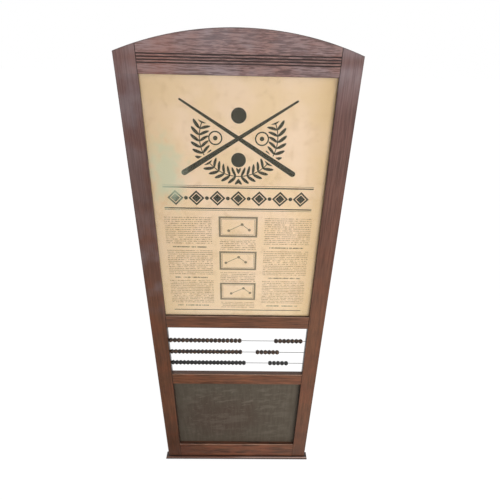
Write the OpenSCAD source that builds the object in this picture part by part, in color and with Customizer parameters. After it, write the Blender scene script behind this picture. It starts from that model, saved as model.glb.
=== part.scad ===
// Billiards scoreboard: a tall arched frame that holds a printed sheet behind glass,
// three wires of counting beads in an open window, and a blackboard.
// The front faces -Y, the floor is z = 0, and the origin is under the middle of the foot.

/* [Frame] */
// Overall width across both stiles
frame_w = 600; // [560:1:680]
// Thickness of the stiles and rails
frame_t = 18; // [18:0.5:24]
// Width of each stile
stile_w = 55; // [50:1:75]
// Radius of the arched top
arch_r = 870; // [800:5:1400]
// Height of the crest rail at its middle
crest_h = 102; // [100:1:130]
// Height of the rail between the sheet and the bead window
poster_rail_h = 52; // [44:1:80]
// Height of the rail between the bead window and the blackboard
slate_rail_h = 52; // [44:1:80]
// Height of the bottom rail
bottom_rail_h = 81; // [60:1:110]
// Radius of the eased front edges of the stiles, rails and arch
edge_r = 2; // [1:0.25:3]

/* [Openings] */
// Height of the opening in front of the sheet
poster_open_h = 747; // [600:1:900]
// Height of the bead window
window_h = 227; // [215:1:300]
// Height of the opening in front of the blackboard
slate_open_h = 376; // [300:1:450]

/* [Joinery] */
// Thickness of the tenons on the rails
tenon_t = 6; // [5:0.5:7]
// Length of the tenons on the rails
tenon_len = 30; // [20:1:34]
// Height left above and below each tenon
tenon_shoulder = 9; // [8.5:0.5:12]
// Height of the tenons on the crest rail
crest_tenon_h = 38; // [20:1:40]
// Clearance round each tenon in its mortise
tenon_gap = 0.15; // [0.1:0.05:0.3]
// Width of the rebates behind the openings
rebate_w = 8; // [7:0.25:8]
// Clearance round the glass, sheet, boards and strips in their rebates
panel_gap = 0.5; // [0.3:0.1:1]

/* [Crest grooves] */
// Number of grooves across the crest rail
groove_count = 4; // [1:1:5]
// Distance between neighbouring grooves
groove_pitch = 6.5; // [4:0.5:7]
// Height of the lowest groove above the sheet's opening
groove_z = 25.5; // [14:0.5:28]
// Width of each groove
groove_w = 2.8; // [1.5:0.1:3.5]
// Depth of each groove
groove_d = 2.6; // [2:0.1:4]

/* [Foot] */
// Thickness of the foot board
foot_h = 11; // [10:0.5:20]
// How far the foot stands out in front of the frame
foot_front = 11; // [5:0.5:20]
// How far the foot stands out past each stile
foot_side = 10.5; // [5:0.5:20]
// Radius of the foot's rounded edges
foot_round = 4; // [2:0.5:4.5]

/* [Sheet and glass] */
// Depth from the frame's face to the glass
glass_recess = 9; // [8:0.5:9]
// Thickness of the glass
glass_t = 2; // [2:0.1:3]
// Thickness of the printed sheet
sheet_t = 0.4; // [0.3:0.1:0.6]
// Thickness of the backing board
backing_t = 3; // [2:0.1:3]
// Width of the strips that hold the backing board
strip_w = 12; // [11:0.5:20]
// Number of pins along each side strip
pin_side_count = 4; // [2:1:6]
// Number of pins along the top strip and along the bottom strip
pin_end_count = 3; // [2:1:5]
// Diameter of the pins through the strips
pin_d = 1.4; // [1:0.1:1.6]
// Length of the pins through the strips
pin_len = 20; // [17:0.5:24]

/* [Blackboard] */
// Thickness of the blackboard
slate_t = 4; // [3:0.1:5]
// Number of screws along each side of the blackboard
slate_side_count = 3; // [2:1:5]
// Number of screws along its top and along its bottom
slate_end_count = 3; // [2:1:5]
// Distance from the blackboard's edge to its screws
slate_screw_inset = 3.6; // [3.4:0.1:4]
// Shank diameter of the blackboard's screws
slate_screw_d = 2.2; // [1.6:0.1:2.4]
// Head diameter of the blackboard's screws
slate_screw_head_d = 4.4; // [3:0.1:4.6]
// Length of the blackboard's screws
slate_screw_len = 14; // [10:0.5:15]

/* [Wires and beads] */
// Diameter of the wires
wire_d = 1.8; // [1.5:0.1:2]
// Depth of the wire holes in the stiles
wire_hole_depth = 15; // [8:0.5:25]
// Gap between a wire's end and the bottom of its hole
wire_end_gap = 1; // [0.2:0.1:3]
// Distance from one wire to the next
wire_pitch = 54.8; // [40:0.1:56]
// Height of the middle wire above the bottom of the window
wire_mid_z = 107.5; // [95:0.5:112]
// Diameter of the beads
bead_d = 17.6; // [14:0.1:17.8]
// Length of each bead along the wire
bead_len = 13.6; // [10:0.1:13.6]
// Diameter of the beads' ends
bead_neck_d = 10.4; // [6:0.1:12]
// Length of the flat band round the middle of each bead
bead_rim = 1.2; // [0.6:0.1:3]
// Diameter of the beads' bore
bead_bore_d = 2.6; // [2.4:0.1:4]
// Gap between a row of beads and what stops it
bead_stop_gap = 0.3; // [0.3:0.1:1]

/* [Bead rows] */
// Beads in stock on the top wire
top_stock = 18; // [1:1:18]
// Spacing of the stock beads on the top wire
top_stock_pitch = 14.45; // [13.8:0.05:14.9]
// Beads scored on the top wire, with the end bead
top_scored = 7; // [2:1:7]
// Spacing of the scored beads on the top wire
top_scored_pitch = 14.65; // [13.8:0.05:14.9]
// Free wire to the right of the scored beads on the top wire
top_free = 11.9; // [1:0.1:20]
// Beads in stock on the middle wire
middle_stock = 19; // [1:1:19]
// Spacing of the stock beads on the middle wire
middle_stock_pitch = 13.8; // [13.8:0.05:14.9]
// Beads scored on the middle wire, with the end bead
middle_scored = 6; // [2:1:6]
// Spacing of the scored beads on the middle wire
middle_scored_pitch = 14.3; // [13.8:0.05:14.9]
// Free wire to the right of the scored beads on the middle wire
middle_free = 93; // [1:0.1:110]
// Beads in stock on the bottom wire
bottom_stock = 20; // [1:1:20]
// Spacing of the stock beads on the bottom wire
bottom_stock_pitch = 13.8; // [13.8:0.05:14.9]
// Beads scored on the bottom wire, with the end bead
bottom_scored = 5; // [2:1:5]
// Spacing of the scored beads on the bottom wire
bottom_scored_pitch = 14.9; // [13.8:0.05:14.9]
// Free wire to the right of the scored beads on the bottom wire
bottom_free = 56.5; // [1:0.1:75]

/* [Hanging plates] */
// Width of each hanging plate
plate_w = 20; // [16:1:26]
// Height of each hanging plate
plate_h = 46; // [44:1:60]
// Thickness of each hanging plate
plate_t = 2; // [1.5:0.1:3]
// Distance from the top of the sheet's opening down to the keyholes' round ends
keyhole_drop = 52; // [45:1:60]
// Diameter of the keyhole's round end
keyhole_d = 9; // [8:0.1:10]
// Width of the keyhole's slot
keyhole_slot_w = 4.4; // [3:0.1:4.6]
// Travel from the round end to the top of the slot
keyhole_travel = 11; // [8:0.5:12]
// Depth of the pocket behind each keyhole
pocket_depth = 7; // [5:0.5:10]
// Margin of the pocket round the keyhole's round end
pocket_margin = 0.5; // [0.3:0.1:1]

/* [Screws] */
// Distance from a stile's outer edge to the foot screw in it
foot_screw_edge = 14; // [10:0.5:15]
// Shank diameter of the foot screws
foot_screw_d = 4; // [3:0.1:5]
// Head diameter of the foot screws
foot_screw_head_d = 8; // [6:0.1:9]
// Length of the foot screws
foot_screw_len = 45; // [30:1:60]
// Distance from the end of a hanging plate to its screws
plate_screw_edge = 5; // [4:0.1:6]
// Shank diameter of the hanging plates' screws
plate_screw_d = 3; // [2:0.1:3.5]
// Head diameter of the hanging plates' screws
plate_screw_head_d = 5.6; // [4:0.1:5.8]
// Length of the hanging plates' screws
plate_screw_len = 13; // [8:0.5:15]
// Width of the slots in the screw heads
driver_slot_w = 0.8; // [0.6:0.1:1]
// Depth of the slots in the screw heads
driver_slot_d = 0.6; // [0.3:0.1:0.8]
// Clearance round each screw, pin and wire end in its hole
hole_gap = 0.05; // [0.02:0.01:0.1]
// Depth of each screw head below the surface
head_sink = 0.2; // [0.1:0.1:0.5]

/* [Hidden] */
$fn = 48;
// Facets of small round things, and of the arch
small_fn = 24;
arch_fn = 720;

wood = "#6b4234";
thin_wood = "#9a6b4c";
black_paint = "#4a453c";
bead_black = "#2a2522";
paper = "#dcc29a";
glass = "#dfe8e8";
brass = "#b08d57";
steel = "#8f9092";

// A cut runs this far past the face that it opens
past = 1;

// Depths along Y, from the front of the foot to the back of the frame
back_y = (foot_front + frame_t) / 2;
face_y = back_y - frame_t;
foot_y = face_y - foot_front;
mid_y = face_y + frame_t / 2;
glass_y = face_y + glass_recess;
sheet_y = glass_y + glass_t;
backing_y = sheet_y + sheet_t;
strip_y = backing_y + backing_t;
strip_t = back_y - strip_y;
slate_y = back_y - slate_t;

// Heights along Z, from the floor to the top of the arch
slate_z0 = foot_h + bottom_rail_h;
slate_z1 = slate_z0 + slate_open_h;
window_z0 = slate_z1 + slate_rail_h;
window_z1 = window_z0 + window_h;
poster_z0 = window_z1 + poster_rail_h;
poster_z1 = poster_z0 + poster_open_h;
crown_z = poster_z1 + crest_h;

// Half widths along X, and the middle of the right stile
half_w = frame_w / 2;
foot_half = half_w + foot_side;
open_half = half_w - stile_w;
stile_mid = half_w - stile_w / 2;

// How far the panels reach behind the frame round their openings
panel_lap = rebate_w - panel_gap;
panel_half = open_half + panel_lap;

// Bottom and top of each rail's tenons
bottom_tenon = [foot_h + tenon_shoulder, slate_z0 - tenon_shoulder];
slate_tenon = [slate_z1 + tenon_shoulder, window_z0 - tenon_shoulder];
poster_tenon = [window_z1 + tenon_shoulder, poster_z0 - tenon_shoulder];
crest_tenon = [poster_z1 + tenon_shoulder, poster_z1 + tenon_shoulder + crest_tenon_h];

// Heights of the wires
middle_z = window_z0 + wire_mid_z;
top_z = middle_z + wire_pitch;
bottom_z = middle_z - wire_pitch;

// Heights of the keyholes' round ends and of the middle of their plates
keyhole_z = poster_z1 - keyhole_drop;
plate_z = keyhole_z + keyhole_travel / 2;

// Centre of the first stock bead, hard against the left stile
stock_x = -open_half + bead_stop_gap + bead_len / 2;

// Centre of the end bead, with some free wire between it and the right stile
function end_x(free) = open_half - free - bead_len / 2;

// Centre of copy i of count, spread evenly over a length that starts at low
function spread(low, length, count, i) = low + length * (i + 0.5) / count;

// Box from one corner to the other
module block(low, high) {
    translate(low) cube(high - low);
}

// Turns a shape drawn across (Y, Z) into a bar along X from -half to half
module bar_x(half) {
    translate([-half, 0, 0]) rotate([90, 0, 90]) linear_extrude(2 * half) children();
}

// What a rounding of radius r takes off a corner at the origin
module corner_waste(r) {
    difference() {
        translate([-past, -past]) square(r + past);
        translate([r, r]) circle(r);
    }
}

// Section of a board t deep and h high, its front face on the line of zero depth.
// Its front edges at the bottom and the top are rounded to the radii given.
module board_section(t, h, bottom_r, top_r) {
    difference() {
        square([t, h]);
        if (bottom_r > 0)
            corner_waste(bottom_r);
        if (top_r > 0)
            translate([0, h]) mirror([0, 1]) corner_waste(top_r);
    }
}

// All that lies under the arch, as deep as the frame, with the arch's front edge eased.
// It is a disc down to its centre, and a block from there to the floor.
module under_arch() {
    centre_z = crown_z - arch_r;
    translate([0, back_y, centre_z])
        rotate([90, 0, 0])
            rotate_extrude($fn = arch_fn)
                difference() {
                    square([arch_r, frame_t]);
                    translate([arch_r, frame_t]) rotate(180) corner_waste(edge_r);
                }
    block([-half_w - past, face_y, 0], [half_w + past, back_y, centre_z]);
}

// Right tenon of a rail, grown by gap on every side to make its mortise
module tenon(span, gap) {
    block([open_half - past, mid_y - tenon_t / 2 - gap, span[0] - gap],
          [open_half + tenon_len + gap, mid_y + tenon_t / 2 + gap, span[1] + gap]);
}

// Both tenons of a rail
module tenons(span) {
    tenon(span, 0);
    mirror([1, 0, 0]) tenon(span, 0);
}

// Rebate behind an opening from z0 to z1, open at the back from depth y
module rebate(y, z0, z1) {
    block([-open_half - rebate_w, y, z0 - rebate_w],
          [open_half + rebate_w, back_y + past, z1 + rebate_w]);
}

module poster_rebate() {
    rebate(glass_y, poster_z0, poster_z1);
}

module slate_rebate() {
    rebate(slate_y, slate_z0, slate_z1);
}

// Panel that fills a rebate from depth y to y + t
module panel(y, t, z0, z1) {
    block([-panel_half, y, z0 - panel_lap], [panel_half, y + t, z1 + panel_lap]);
}

// Round bar along Z from the origin
module pin(d, len) {
    cylinder(d = d, h = len, $fn = small_fn);
}

// Hole for that bar, open at the origin
module pin_hole(d, len) {
    translate([0, 0, -past]) pin(d + 2 * hole_gap, len + hole_gap + past);
}

// Places of the pins through the right strip, going right
module at_side_pins() {
    for (i = [0 : pin_side_count - 1])
        translate([panel_half - strip_w, strip_y + strip_t / 2,
                   spread(poster_z0, poster_open_h, pin_side_count, i)])
            rotate([0, 90, 0]) children();
}

// Places of the pins through the top strip, going up
module at_top_pins() {
    for (i = [0 : pin_end_count - 1])
        translate([spread(-open_half, 2 * open_half, pin_end_count, i),
                   strip_y + strip_t / 2, poster_z1 + panel_lap - strip_w])
            children();
}

// Places of the pins through the bottom strip, going down
module at_bottom_pins() {
    for (i = [0 : pin_end_count - 1])
        translate([spread(-open_half, 2 * open_half, pin_end_count, i),
                   strip_y + strip_t / 2, poster_z0 - panel_lap + strip_w])
            mirror([0, 0, 1]) children();
}

// Solid of a countersunk screw along +Z, its head's face at the origin
module screw_body(d, head_d, len) {
    cylinder(d1 = head_d, d2 = d, h = (head_d - d) / 2, $fn = small_fn);
    cylinder(d = d, h = len, $fn = small_fn);
}

// Screw with a driver slot across its head
module screw(d, head_d, len) {
    difference() {
        screw_body(d, head_d, len);
        block([-head_d, -driver_slot_w / 2, -past], [head_d, driver_slot_w / 2, driver_slot_d]);
    }
}

// Hole for a screw, with the sink above its head
module screw_hole(d, head_d, len) {
    screw_body(d + 2 * hole_gap, head_d + 2 * hole_gap, len + hole_gap);
    translate([0, 0, -head_sink - past])
        cylinder(d = head_d + 2 * hole_gap, h = head_sink + past, $fn = small_fn);
}

// Places of the screws up through the foot, two into the stiles and two into the rail
module at_foot_screws() {
    for (x = [foot_screw_edge - half_w, -open_half / 2, open_half / 2, half_w - foot_screw_edge])
        translate([x, mid_y, head_sink]) children();
}

// Places of the screws round the blackboard, driven from the back
module at_blackboard_screws() {
    inset = panel_lap - slate_screw_inset;
    for (side = [-1, 1])
        for (i = [0 : slate_side_count - 1])
            translate([side * (open_half + inset), back_y - head_sink,
                       spread(slate_z0, slate_open_h, slate_side_count, i)])
                rotate([90, 0, 0]) children();
    for (z = [slate_z0 - inset, slate_z1 + inset])
        for (i = [0 : slate_end_count - 1])
            translate([spread(-open_half, 2 * open_half, slate_end_count, i),
                       back_y - head_sink, z])
                rotate([90, 0, 0]) children();
}

// Places of the screws in the hanging plates, driven from the back
module at_plate_screws() {
    for (side = [-1, 1])
        for (end = [-1, 1])
            translate([side * stile_mid, back_y - head_sink,
                       plate_z + end * (plate_h / 2 - plate_screw_edge)])
                rotate([90, 0, 0]) children();
}

module foot_screw_holes() {
    at_foot_screws() screw_hole(foot_screw_d, foot_screw_head_d, foot_screw_len);
}

module blackboard_screw_holes() {
    at_blackboard_screws() screw_hole(slate_screw_d, slate_screw_head_d, slate_screw_len);
}

module plate_screw_holes() {
    at_plate_screws() screw_hole(plate_screw_d, plate_screw_head_d, plate_screw_len);
}

// Keyhole with the centre of its round end at the origin and its slot above
module keyhole(round_d, slot_w) {
    circle(d = round_d);
    translate([-slot_w / 2, 0]) square([slot_w, keyhole_travel]);
    translate([0, keyhole_travel]) circle(d = slot_w);
}

// Keyhole cut from the right stile's back to a depth
module keyhole_cut(round_d, slot_w, depth) {
    translate([stile_mid, back_y + past, keyhole_z])
        rotate([90, 0, 0])
            linear_extrude(depth + past) keyhole(round_d, slot_w);
}

// Right hanging plate, grown by gap to make its recess
module plate_block(gap) {
    block([stile_mid - plate_w / 2 - gap, back_y - plate_t, plate_z - plate_h / 2 - gap],
          [stile_mid + plate_w / 2 + gap, back_y + gap, plate_z + plate_h / 2 + gap]);
}

// Right stile: a board under the arch, eased down both front edges
module stile() {
    pocket_d = keyhole_d + 2 * pocket_margin;
    difference() {
        intersection() {
            translate([open_half, face_y, foot_h])
                linear_extrude(crown_z - foot_h)
                    mirror([1, -1]) board_section(frame_t, stile_w, edge_r, edge_r);
            under_arch();
        }
        for (span = [bottom_tenon, slate_tenon, poster_tenon, crest_tenon])
            tenon(span, tenon_gap);
        poster_rebate();
        slate_rebate();
        for (z = [bottom_z, middle_z, top_z])
            translate([open_half, mid_y, z])
                rotate([0, 90, 0]) pin_hole(wire_d, wire_hole_depth - hole_gap);
        at_side_pins() pin_hole(pin_d, pin_len);
        foot_screw_holes();
        blackboard_screw_holes();
        plate_block(hole_gap);
        keyhole_cut(pocket_d, pocket_d, plate_t + pocket_depth);
        plate_screw_holes();
    }
}

module left_stile() {
    color(wood) mirror([1, 0, 0]) stile();
}

module right_stile() {
    color(wood) stile();
}

// Section of one groove, cut into a face on the line of zero depth, with a round bottom
module groove_section() {
    round_y = groove_d - groove_w / 2;
    translate([-past, -groove_w / 2]) square([past + round_y, groove_w]);
    translate([round_y, 0]) circle(d = groove_w, $fn = small_fn);
}

// Rail between the stiles from z0 to z1, with its tenons
module rail(z0, z1, bottom_r, top_r, span) {
    bar_x(open_half)
        translate([face_y, z0]) board_section(frame_t, z1 - z0, bottom_r, top_r);
    tenons(span);
}

// Arched top rail with its row of grooves and the rebate for the sheet
module crest_rail() {
    color(wood)
        difference() {
            intersection() {
                rail(poster_z1, crown_z, edge_r, 0, crest_tenon);
                under_arch();
            }
            for (i = [0 : groove_count - 1])
                bar_x(open_half + past)
                    translate([face_y, poster_z1 + groove_z + i * groove_pitch])
                        groove_section();
            poster_rebate();
            at_top_pins() pin_hole(pin_d, pin_len);
        }
}

// Rail between the sheet and the bead window
module poster_rail() {
    color(wood)
        difference() {
            rail(window_z1, poster_z0, edge_r, edge_r, poster_tenon);
            poster_rebate();
            at_bottom_pins() pin_hole(pin_d, pin_len);
        }
}

// Rail between the bead window and the blackboard
module slate_rail() {
    color(wood)
        difference() {
            rail(slate_z1, window_z0, edge_r, edge_r, slate_tenon);
            slate_rebate();
            blackboard_screw_holes();
        }
}

// Rail that stands on the foot board
module bottom_rail() {
    color(wood)
        difference() {
            rail(foot_h, slate_z0, 0, edge_r, bottom_tenon);
            slate_rebate();
            blackboard_screw_holes();
            foot_screw_holes();
        }
}

// Board under the frame, rounded along its front and both ends, flat at the back
module foot_board() {
    depth = back_y - foot_y;
    color(wood)
        difference() {
            intersection() {
                bar_x(foot_half)
                    translate([foot_y, 0]) board_section(depth, foot_h, foot_round, foot_round);
                translate([0, back_y, 0])
                    rotate([90, 0, 0]) linear_extrude(depth) foot_face();
            }
            foot_screw_holes();
        }
}

// Outline of the foot from the front, with its four corners rounded
module foot_face() {
    intersection_for(side = [0, 1])
        mirror([side, 0])
            translate([-foot_half, 0])
                board_section(2 * foot_half, foot_h, foot_round, foot_round);
}

module foot_screws() {
    color(steel) at_foot_screws() screw(foot_screw_d, foot_screw_head_d, foot_screw_len);
}

module poster_glass() {
    color(glass, 0.3) panel(glass_y, glass_t, poster_z0, poster_z1);
}

module poster_sheet() {
    color(paper) panel(sheet_y, sheet_t, poster_z0, poster_z1);
}

module poster_backing() {
    color(thin_wood) panel(backing_y, backing_t, poster_z0, poster_z1);
}

// Strip over the top of the backing board, as wide as the board
module strip_top() {
    strip_z1 = poster_z1 + panel_lap;
    color(thin_wood)
        difference() {
            block([-panel_half, strip_y, strip_z1 - strip_w], [panel_half, back_y, strip_z1]);
            at_top_pins() pin_hole(pin_d, pin_len);
        }
}

module strip_bottom() {
    strip_z0 = poster_z0 - panel_lap;
    color(thin_wood)
        difference() {
            block([-panel_half, strip_y, strip_z0], [panel_half, back_y, strip_z0 + strip_w]);
            at_bottom_pins() pin_hole(pin_d, pin_len);
        }
}

// Right strip, which stands between the top and bottom strips
module side_strip() {
    end_gap = strip_w + panel_gap - panel_lap;
    difference() {
        block([panel_half - strip_w, strip_y, poster_z0 + end_gap],
              [panel_half, back_y, poster_z1 - end_gap]);
        at_side_pins() pin_hole(pin_d, pin_len);
    }
}

module strip_left() {
    color(thin_wood) mirror([1, 0, 0]) side_strip();
}

module strip_right() {
    color(thin_wood) side_strip();
}

module strip_pins() {
    color(steel) {
        for (side = [0, 1])
            mirror([side, 0, 0]) at_side_pins() pin(pin_d, pin_len);
        at_top_pins() pin(pin_d, pin_len);
        at_bottom_pins() pin(pin_d, pin_len);
    }
}

// Painted board behind the lower opening, flush with the back of the frame
module blackboard() {
    color(black_paint)
        difference() {
            panel(slate_y, slate_t, slate_z0, slate_z1);
            blackboard_screw_holes();
        }
}

module blackboard_screws() {
    color(steel) at_blackboard_screws() screw(slate_screw_d, slate_screw_head_d, slate_screw_len);
}

// Straight wire across the window into its holes in the stiles
module wire(z) {
    wire_half = open_half + wire_hole_depth - wire_end_gap;
    color(steel)
        translate([-wire_half, mid_y, z]) rotate([0, 90, 0]) pin(wire_d, 2 * wire_half);
}

module top_wire() {
    wire(top_z);
}

module middle_wire() {
    wire(middle_z);
}

module bottom_wire() {
    wire(bottom_z);
}

// Turned bead on a wire along X: two cones base to base with a narrow band between
module bead() {
    rotate([0, 90, 0])
        rotate_extrude()
            polygon([
                [bead_bore_d / 2, -bead_len / 2],
                [bead_neck_d / 2, -bead_len / 2],
                [bead_d / 2, -bead_rim / 2],
                [bead_d / 2, bead_rim / 2],
                [bead_neck_d / 2, bead_len / 2],
                [bead_bore_d / 2, bead_len / 2]
            ]);
}

// Row of count beads, the first one centred on x
module bead_row(x, z, count, pitch) {
    color(bead_black)
        for (i = [0 : count - 1])
            translate([x + i * pitch, mid_y, z]) bead();
}

// Scored beads of a wire without their end bead
module scored_row(z, count, pitch, free) {
    bead_row(end_x(free) - (count - 1) * pitch, z, count - 1, pitch);
}

module top_stock_beads() {
    bead_row(stock_x, top_z, top_stock, top_stock_pitch);
}

module top_scored_beads() {
    scored_row(top_z, top_scored, top_scored_pitch, top_free);
}

module top_end_bead() {
    bead_row(end_x(top_free), top_z, 1, 0);
}

module middle_stock_beads() {
    bead_row(stock_x, middle_z, middle_stock, middle_stock_pitch);
}

module middle_scored_beads() {
    scored_row(middle_z, middle_scored, middle_scored_pitch, middle_free);
}

module middle_end_bead() {
    bead_row(end_x(middle_free), middle_z, 1, 0);
}

module bottom_stock_beads() {
    bead_row(stock_x, bottom_z, bottom_stock, bottom_stock_pitch);
}

module bottom_scored_beads() {
    scored_row(bottom_z, bottom_scored, bottom_scored_pitch, bottom_free);
}

module bottom_end_bead() {
    bead_row(end_x(bottom_free), bottom_z, 1, 0);
}

// Brass plate let in flush with the back of the right stile
module hanging_plate() {
    difference() {
        plate_block(0);
        keyhole_cut(keyhole_d, keyhole_slot_w, plate_t + past);
        plate_screw_holes();
    }
}

module left_hanging_plate() {
    color(brass) mirror([1, 0, 0]) hanging_plate();
}

module right_hanging_plate() {
    color(brass) hanging_plate();
}

module hanging_plate_screws() {
    color(brass) at_plate_screws() screw(plate_screw_d, plate_screw_head_d, plate_screw_len);
}

left_stile();
right_stile();
crest_rail();
poster_rail();
slate_rail();
bottom_rail();
foot_board();
foot_screws();
poster_glass();
poster_sheet();
poster_backing();
strip_top();
strip_bottom();
strip_left();
strip_right();
strip_pins();
blackboard();
blackboard_screws();
top_wire();
middle_wire();
bottom_wire();
top_stock_beads();
top_scored_beads();
top_end_bead();
middle_stock_beads();
middle_scored_beads();
middle_end_bead();
bottom_stock_beads();
bottom_scored_beads();
bottom_end_bead();
left_hanging_plate();
right_hanging_plate();
hanging_plate_screws();
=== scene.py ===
"""Looks of the billiards scoreboard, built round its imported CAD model.

Lengths are in metres, in the model's own frame: the front faces -Y, Z is up, and the floor is z = 0.
"""

import functools
import math

import bpy
import numpy as np
from mathutils import Matrix, Vector


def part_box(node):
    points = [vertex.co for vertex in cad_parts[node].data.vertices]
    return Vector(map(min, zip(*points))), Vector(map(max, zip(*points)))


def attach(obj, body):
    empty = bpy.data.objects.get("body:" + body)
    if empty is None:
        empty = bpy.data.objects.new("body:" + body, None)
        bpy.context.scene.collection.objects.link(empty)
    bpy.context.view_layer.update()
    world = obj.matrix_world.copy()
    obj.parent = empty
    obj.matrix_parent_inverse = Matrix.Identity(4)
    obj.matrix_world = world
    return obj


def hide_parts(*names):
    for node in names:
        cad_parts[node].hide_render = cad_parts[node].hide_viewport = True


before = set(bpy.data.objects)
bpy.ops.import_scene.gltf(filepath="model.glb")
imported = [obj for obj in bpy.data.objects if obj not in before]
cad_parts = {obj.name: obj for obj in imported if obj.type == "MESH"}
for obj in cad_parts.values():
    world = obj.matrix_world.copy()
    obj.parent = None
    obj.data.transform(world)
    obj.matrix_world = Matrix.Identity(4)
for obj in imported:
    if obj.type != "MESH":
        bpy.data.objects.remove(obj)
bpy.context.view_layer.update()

MM = 0.001

# Places on the frame that the patterns line up with
FACE_Y = -3.5 * MM
BACK_Y = 14.5 * MM
OPEN_HALF = 245 * MM
HALF_W = 300 * MM
GROOVE_LOW = 1569 * MM
GROOVE_HIGH = 1593.5 * MM
GROOVE_DEEP = 3 * MM
CREST_Z = 1546 * MM
FOOT_H = 11 * MM
SLATE_RAIL_TOP, BOTTOM_RAIL_TOP = 520 * MM, 92 * MM
ARCH_MID_Z, ARCH_R = 778 * MM, 870 * MM
SHEET_MID_Z, SHEET_LOW = 1172.5 * MM, 799 * MM
SLATE_MID_Z = 280 * MM

# Sockets of Blender's Mix node in its colour mode
FACTOR, COLOUR_A, COLOUR_B, COLOUR = 0, 6, 7, 2


def linear(code):
    """Linear RGBA of an sRGB hex colour: c / 12.92 up to 0.04045, else ((c + 0.055) / 1.055) ** 2.4."""
    shares = [int(code[i:i + 2], 16) / 255 for i in (1, 3, 5)]
    rgb = [c / 12.92 if c <= 0.04045 else ((c + 0.055) / 1.055) ** 2.4 for c in shares]
    return (*rgb, 1.0)


def add(tree, kind, inputs=None, out=0, **settings):
    """Adds a shader node of a kind, with its settings. Inputs are sockets to link, or else values."""
    made = tree.nodes.new("ShaderNode" + kind)
    for name, value in settings.items():
        setattr(made, name, value)
    for key, value in (inputs or {}).items():
        if isinstance(value, bpy.types.NodeSocket):
            tree.links.new(value, made.inputs[key])
        else:
            made.inputs[key].default_value = value
    return made.outputs[out] if len(made.outputs) else made


def new_material(name, surface, **look):
    """A material whose surface is the shader that a function gives.

    The function is given the call that adds nodes to this material, and the look's settings.
    """
    material = bpy.data.materials.new(name)
    material.use_nodes = True
    material.node_tree.nodes.clear()
    put = functools.partial(add, material.node_tree)
    put("OutputMaterial", {"Surface": surface(put, **look)})
    return material


def step_up(put, value, low, high):
    """0 where value is under low, 1 where it is over high, and an even S-curve between."""
    return put("MapRange", {"Value": value, "From Min": low, "From Max": high},
               interpolation_type="SMOOTHSTEP")


def near(put, value, middle, reach):
    """1 where value is at middle, falling to 0 at reach on either side."""
    off = put("Math", {0: value, 1: middle}, operation="SUBTRACT")
    size = put("Math", {0: off}, operation="ABSOLUTE")
    return put("MapRange", {"Value": size, "From Min": reach, "From Max": 0.0},
               interpolation_type="SMOOTHSTEP")


def streaks(put, place, stretch, width, detail=3.0, distortion=0.0):
    """Noise drawn out along the grain: stretch scales each axis, and width is a streak's width."""
    drawn = put("VectorMath", {0: place, 1: stretch}, operation="MULTIPLY")
    return put("TexNoise", {"Vector": drawn, "Scale": 1 / width, "Detail": detail,
                            "Roughness": 0.55, "Distortion": distortion})


def patches(put, place, size, detail=3.0, offset=(0.0, 0.0, 0.0)):
    """Even noise with patches of about that size. The offset takes another part of the noise."""
    moved = put("VectorMath", {0: place, 1: offset})
    return put("TexNoise", {"Vector": moved, "Scale": 1 / size, "Detail": detail})


def layered(put, colour, layers):
    """Lays colours over the first one in turn. A layer is (share, colour), with a share of 0 to 1."""
    for share, over in layers:
        colour = put("Mix", {FACTOR: share, COLOUR_A: colour, COLOUR_B: over},
                     out=COLOUR, data_type="RGBA")
    return colour


def all_of(put, *shares):
    """Where every one of these patterns is, 0 to 1: the product of their shares."""
    whole = shares[0]
    for share in shares[1:]:
        whole = put("Math", {0: whole, 1: share}, operation="MULTIPLY")
    return whole


def any_of(put, *shares):
    """Where any of these patterns is, 0 to 1: the largest of their shares."""
    whole = shares[0]
    for share in shares[1:]:
        whole = put("Math", {0: whole, 1: share}, operation="MAXIMUM")
    return whole


def band(put, value, low, high, soft):
    """1 where value is from low to high. It rises on the way from low to low + soft, and falls alike."""
    inside = step_up(put, value, low, low + soft)
    past = step_up(put, value, high, high + soft)
    return put("Math", {0: inside, 1: past}, operation="SUBTRACT")


def away_from(put, spot, centre, reach):
    """Distance from a centre, as a share of the reach on each axis. Reach 0 leaves an axis out."""
    off = put("VectorMath", {0: spot, 1: centre}, operation="SUBTRACT")
    share = tuple(1 / r if r else 0.0 for r in reach)
    off = put("VectorMath", {0: off, 1: share}, operation="MULTIPLY")
    return put("VectorMath", {0: off}, out=1, operation="LENGTH")


# Grain directions: the factor along the grain draws the streaks out, up the stiles or along the rails
UP_GRAIN = (1.0, 1.0, 0.03)
ALONG_GRAIN = (0.045, 1.0, 1.0)
CREST_GRAIN = (0.09, 1.0, 1.0)


def up_to_crest(put, z):
    """1 between the foot and the crest rail."""
    above_foot = put("Math", {0: z, 1: 2 * FOOT_H}, operation="GREATER_THAN")
    crest = put("Math", {0: z, 1: CREST_Z}, operation="GREATER_THAN")
    return put("Math", {0: above_foot, 1: crest}, operation="SUBTRACT")


def joint_dirt(put, across, z):
    """Dirt along the stiles' inner edges. Beside the glass it has been wiped back to a third."""
    wiped_to = 0.35
    joint = near(put, across, OPEN_HALF + 0.4 * MM, 1.8 * MM)
    glazed = band(put, z, SHEET_LOW - 2 * MM, CREST_Z - 2 * MM, 4 * MM)
    kept = put("MapRange", {"Value": glazed, "To Min": 1.0, "To Max": wiped_to})
    return all_of(put, joint, kept)


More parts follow.
